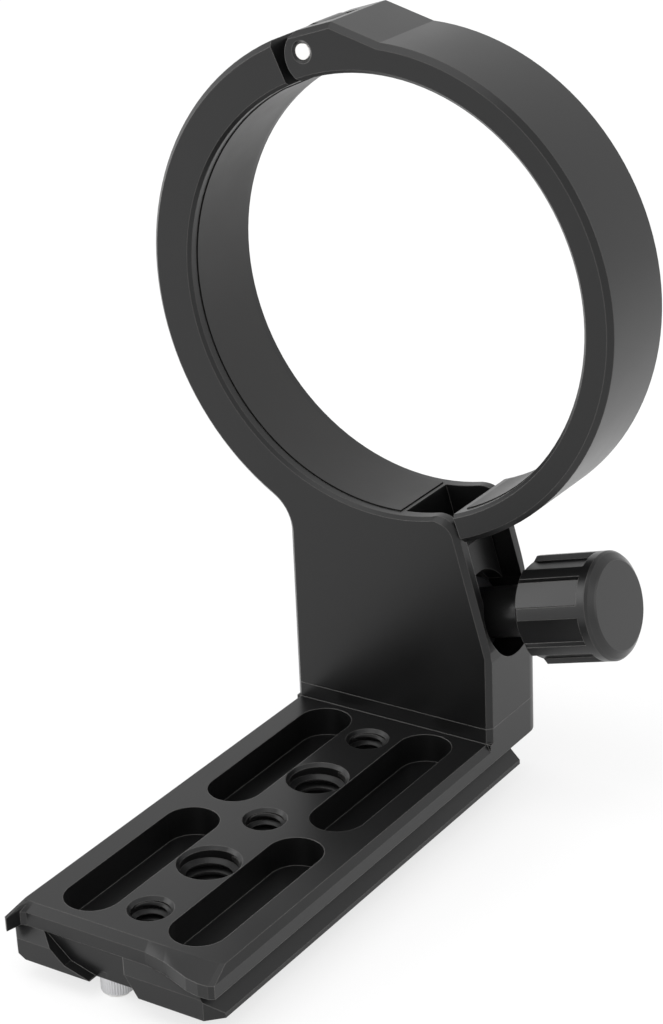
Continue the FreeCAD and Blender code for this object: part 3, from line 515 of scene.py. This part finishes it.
def knurl_band(inner, outer, depth, teeth, low, high):
    """A closed band about Z with straight teeth and eased ends."""
    mesh = bmesh.new()
    ease = depth * 1.5
    levels = ((low, 0.0), (low + ease, 1.0), (high - ease, 1.0), (high, 0.0))
    loops = []
    for level, share in levels:
        loop = []
        for index in range(teeth * 4):
            angle = 2 * math.pi * index / (teeth * 4)
            rise = (0.0, 0.75, 1.0, 0.75)[index % 4] * depth * share
            radius = outer + rise
            loop.append(mesh.verts.new((radius * math.cos(angle),
                                        radius * math.sin(angle), level)))
        loops.append(loop)
    for level in (high, low):
        loop = []
        for index in range(teeth * 4):
            angle = 2 * math.pi * index / (teeth * 4)
            loop.append(mesh.verts.new((inner * math.cos(angle),
                                        inner * math.sin(angle), level)))
        loops.append(loop)
    loops.append(loops[0])
    for before, after in zip(loops, loops[1:]):
        for index in range(teeth * 4):
            following = (index + 1) % (teeth * 4)
            mesh.faces.new((before[index], before[following],
                            after[following], after[index]))
    bmesh.ops.recalc_face_normals(mesh, faces=mesh.faces)
    return mesh


def screw_matrix():
    """Local frame of the clamp screw: Z outward, Y along the lens axis."""
    across = Vector((0.0, 1.0, 0.0))
    side = across.cross(SCREW_AXIS)
    turn = Matrix((side, across, SCREW_AXIS)).transposed().to_4x4()
    return Matrix.Translation(SCREW_SEAT) @ turn


# --------------------------------------------------------------- operators

class COLLAR_OT_black_metal(bpy.types.Operator):
    """Finish the ring, the pedestal and the foot in satin black"""

    bl_idname = "collar.black_metal"
    bl_label = "Black metal parts"

    def execute(self, context):
        metal = context.scene.collar_metal
        material = satin_black("anodised_black", tuple(metal.colour),
                               metal.roughness, metal.gloss, metal)
        dress(("collar_base", "upper_ring", "foot_plate"), material)
        return {"FINISHED"}


class COLLAR_OT_knob(bpy.types.Operator):
    """Finish the clamp knob in smooth turned black"""

    bl_idname = "collar.knob"
    bl_label = "Clamp knob"

    def execute(self, context):
        metal = context.scene.collar_metal
        material = satin_black("knob_black", tuple(metal.knob_colour),
                               metal.knob_roughness, metal.knob_gloss, metal,
                               depth=0.000002)
        dress(("clamp_knob",), material)
        return {"FINISHED"}


class COLLAR_OT_liners(bpy.types.Operator):
    """Finish the two liner strips of the bore"""

    bl_idname = "collar.liners"
    bl_label = "Liner strips"

    def execute(self, context):
        liner = context.scene.collar_liner
        material = liner_strip("liner_black", tuple(liner.colour), liner.roughness)
        dress(("base_liner", "ring_liner"), material)
        return {"FINISHED"}


class COLLAR_OT_steel_parts(bpy.types.Operator):
    """Finish the pin, the stud, the washer and the screws in steel"""

    bl_idname = "collar.steel_parts"
    bl_label = "Steel parts"

    def execute(self, context):
        settings = context.scene.collar_steel
        bright = steel("bright_steel", tuple(settings.bright), 0.24, 0.00012)
        dark = steel("blackened_steel", tuple(settings.dark), 0.36, 0.00020)
        dress(("hinge_pin", "clamp_stud", "stop_screw"), bright)
        dress(("thrust_washer", "foot_screws"), dark)
        return {"FINISHED"}


class COLLAR_OT_foot_threads(bpy.types.Operator):
    """Cut the visible threads of the foot's five tapped holes"""

    bl_idname = "collar.foot_threads"
    bl_label = "Threads of the foot"

    def execute(self, context):
        threads = context.scene.collar_threads
        metal = context.scene.collar_metal
        # Half the edge colour here: fainter oxide wear and painted highlight on the thread
        # edges.
        material = satin_black("thread_black", tuple(metal.colour),
                               metal.roughness, metal.thread_gloss, metal, wear_highlight_share=0.5)
        for number, (along, wall) in enumerate(FOOT_HOLES, start=1):
            small = wall == SMALL_WALL
            pitch = threads.small_pitch if small else threads.large_pitch
            mesh = thread_ridge(wall + THREAD_SUNK, wall - THREAD_DEPTH * pitch, pitch,
                                threads.bottom, threads.top)
            bmesh.ops.translate(mesh, verts=mesh.verts, vec=(0.0, along, 0.0))
            mesh_piece("foot_thread_%d" % number, mesh, material, "base")
        return {"FINISHED"}


class COLLAR_OT_stud_thread(bpy.types.Operator):
    """Cut the thread on the end of the clamp stud"""

    bl_idname = "collar.stud_thread"
    bl_label = "Thread of the stud"

    def execute(self, context):
        threads = context.scene.collar_threads
        mesh = thread_ridge(STUD_ROOT, STUD_CREST, threads.stud_pitch,
                            STUD_THREAD_END, STUD_THREAD_START)
        bmesh.ops.transform(mesh, verts=mesh.verts, matrix=screw_matrix())
        mesh_piece("stud_thread", mesh, bpy.data.materials["bright_steel"], "knob")
        return {"FINISHED"}


class COLLAR_OT_stop_knurl(bpy.types.Operator):
    """Roll the straight knurl on the stop screw's head"""

    bl_idname = "collar.stop_knurl"
    bl_label = "Knurl of the stop screw"

    def execute(self, context):
        settings = context.scene.collar_steel
        low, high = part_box("stop_screw")
        middle = (low + high) / 2
        radius = (high.x - low.x) / 2
        mesh = knurl_band(radius - KNURL_WALL, radius - KNURL_SUNK,
                          settings.knurl_depth, settings.knurl_teeth,
                          low.z + KNURL_LOW, low.z + KNURL_HIGH)
        bmesh.ops.translate(mesh, verts=mesh.verts, vec=(middle.x, middle.y, 0.0))
        mesh_piece("stop_screw_knurl", mesh, bpy.data.materials["bright_steel"],
                   "base")
        return {"FINISHED"}


class COLLAR_OT_stage(bpy.types.Operator):
    """Set up the pale floor, the soft lamps and the camera"""

    bl_idname = "collar.stage"
    bl_label = "Studio stage"

    def execute(self, context):
        stage = context.scene.collar_stage
        self.floor(stage)
        self.surround(context.scene, stage)
        for name, place, size, power in LAMPS:
            self.lamp(name, place, size, getattr(stage, power))
        self.camera(context.scene, stage)
        return {"FINISHED"}

    def floor(self, stage):
        mesh = bmesh.new()
        bmesh.ops.create_grid(mesh, x_segments=1, y_segments=1, size=FLOOR_HALF)
        height = CAD_BOX[0][2]
        bmesh.ops.translate(mesh, verts=mesh.verts, vec=(0.0, 0.0, height))
        data = bpy.data.meshes.new("floor")
        mesh.to_mesh(data)
        mesh.free()
        floor = bpy.data.objects.new("floor", data)
        bpy.context.scene.collection.objects.link(floor)
        material, tree, shader = new_material("floor_paper")
        grain = use_group(tree, blasted_grain(), Size=0.002, Drift=0.4)
        darker = tuple(part * 0.985 for part in stage.floor_colour)
        base = mixed_colour(tree, grain.outputs["Shade"], darker,
                            tuple(stage.floor_colour))
        tree.links.new(base, shader.inputs["Base Color"])
        shader.inputs["Roughness"].default_value = 0.9
        shader.inputs["Specular IOR Level"].default_value = 0.1
        glow = tree.nodes.new("ShaderNodeEmission")
        glow.inputs["Color"].default_value = (1.0, 1.0, 1.0, 1.0)
        path = tree.nodes.new("ShaderNodeLightPath")
        mirrored = math_node(tree, "MAXIMUM", path.outputs["Is Glossy Ray"],
                             path.outputs["Is Transmission Ray"])
        mirrored = math_node(tree, "MULTIPLY", mirrored, MIRRORED_GLOW)
        seen = math_node(tree, "MAXIMUM", path.outputs["Is Camera Ray"], mirrored)
        share = math_node(tree, "MULTIPLY", seen, stage.floor_glow)
        mix = tree.nodes.new("ShaderNodeMixShader")
        tree.links.new(share, mix.inputs["Fac"])
        tree.links.new(shader.outputs["BSDF"], mix.inputs[1])
        tree.links.new(glow.outputs["Emission"], mix.inputs[2])
        output = tree.nodes["Material Output"]
        tree.links.new(mix.outputs["Shader"], output.inputs["Surface"])
        data.materials.append(material)

    def surround(self, scene, stage):
        world = bpy.data.worlds.new("studio")
        world.use_nodes = True
        scene.world = world
        tree = world.node_tree
        tree.nodes.clear()
        back = tree.nodes.new("ShaderNodeBackground")
        plain = tree.nodes.new("ShaderNodeBackground")
        back.inputs["Strength"].default_value = stage.sky
        plain.inputs["Strength"].default_value = 1.0
        for node in (back, plain):
            node.inputs["Color"].default_value = (1.0, 1.0, 1.0, 1.0)
        path = tree.nodes.new("ShaderNodeLightPath")
        seen = math_node(tree, "MAXIMUM", path.outputs["Is Camera Ray"],
                         path.outputs["Is Glossy Ray"])
        seen = math_node(tree, "MAXIMUM", seen,
                         path.outputs["Is Transmission Ray"])
        mix = tree.nodes.new("ShaderNodeMixShader")
        output = tree.nodes.new("ShaderNodeOutputWorld")
        tree.links.new(seen, mix.inputs["Fac"])
        tree.links.new(back.outputs["Background"], mix.inputs[1])
        tree.links.new(plain.outputs["Background"], mix.inputs[2])
        tree.links.new(mix.outputs["Shader"], output.inputs["Surface"])

    def lamp(self, name, place, size, power):
        data = bpy.data.lights.new(name, "AREA")
        data.shape = "DISK"
        data.size = size
        data.energy = power
        lamp = bpy.data.objects.new(name, data)
        bpy.context.scene.collection.objects.link(lamp)
        lamp.location = place
        away = Vector(place) - LAMP_AIM
        lamp.rotation_euler = away.to_track_quat("Z", "Y").to_euler()

    def camera(self, scene, stage):
        data = bpy.data.cameras.new("camera")
        data.lens = stage.lens
        data.sensor_fit = "VERTICAL"
        data.sensor_height = 36.0
        data.clip_start = 0.01
        data.clip_end = 20.0
        camera = bpy.data.objects.new("camera", data)
        scene.collection.objects.link(camera)
        right = CAMERA_RIGHT.normalized()
        back = CAMERA_BACK.normalized()
        up = back.cross(right).normalized()
        right = up.cross(back)
        turn = Matrix((right, up, back)).transposed().to_4x4()
        camera.matrix_world = Matrix.Translation(CAMERA_PLACE) @ turn
        scene.camera = camera
        scene.view_settings.view_transform = "Standard"


class COLLAR_PT_sidebar(bpy.types.Panel):
    """Settings and steps of the collar"""

    bl_idname = "COLLAR_PT_sidebar"
    bl_label = "Lens Tripod Collar"
    bl_space_type = "VIEW_3D"
    bl_region_type = "UI"
    bl_category = "Collar"

    def draw(self, context):
        layout = self.layout
        for step in STEPS:
            layout.operator(step.bl_idname)
        for attribute, settings in SETTINGS:
            box = layout.box()
            box.label(text=settings.__doc__)
            group = getattr(context.scene, attribute)
            for label in settings.__annotations__:
                box.prop(group, label)


STEPS = (
    COLLAR_OT_black_metal,
    COLLAR_OT_knob,
    COLLAR_OT_liners,
    COLLAR_OT_steel_parts,
    COLLAR_OT_foot_threads,
    COLLAR_OT_stud_thread,
    COLLAR_OT_stop_knurl,
    COLLAR_OT_stage,
)


def register():
    for attribute, settings in SETTINGS:
        bpy.utils.register_class(settings)
        setattr(bpy.types.Scene, attribute, bpy.props.PointerProperty(type=settings))
    for step in STEPS:
        bpy.utils.register_class(step)
    bpy.utils.register_class(COLLAR_PT_sidebar)


def unregister():
    bpy.utils.unregister_class(COLLAR_PT_sidebar)
    for step in reversed(STEPS):
        bpy.utils.unregister_class(step)
    for attribute, settings in reversed(SETTINGS):
        delattr(bpy.types.Scene, attribute)
        bpy.utils.unregister_class(settings)


def main():
    register()
    bpy.ops.collar.black_metal()
    bpy.ops.collar.knob()
    bpy.ops.collar.liners()
    bpy.ops.collar.steel_parts()
    bpy.ops.collar.foot_threads()
    bpy.ops.collar.stud_thread()
    bpy.ops.collar.stop_knurl()
    bpy.ops.collar.stage()


if __name__ == "__main__":
    main()
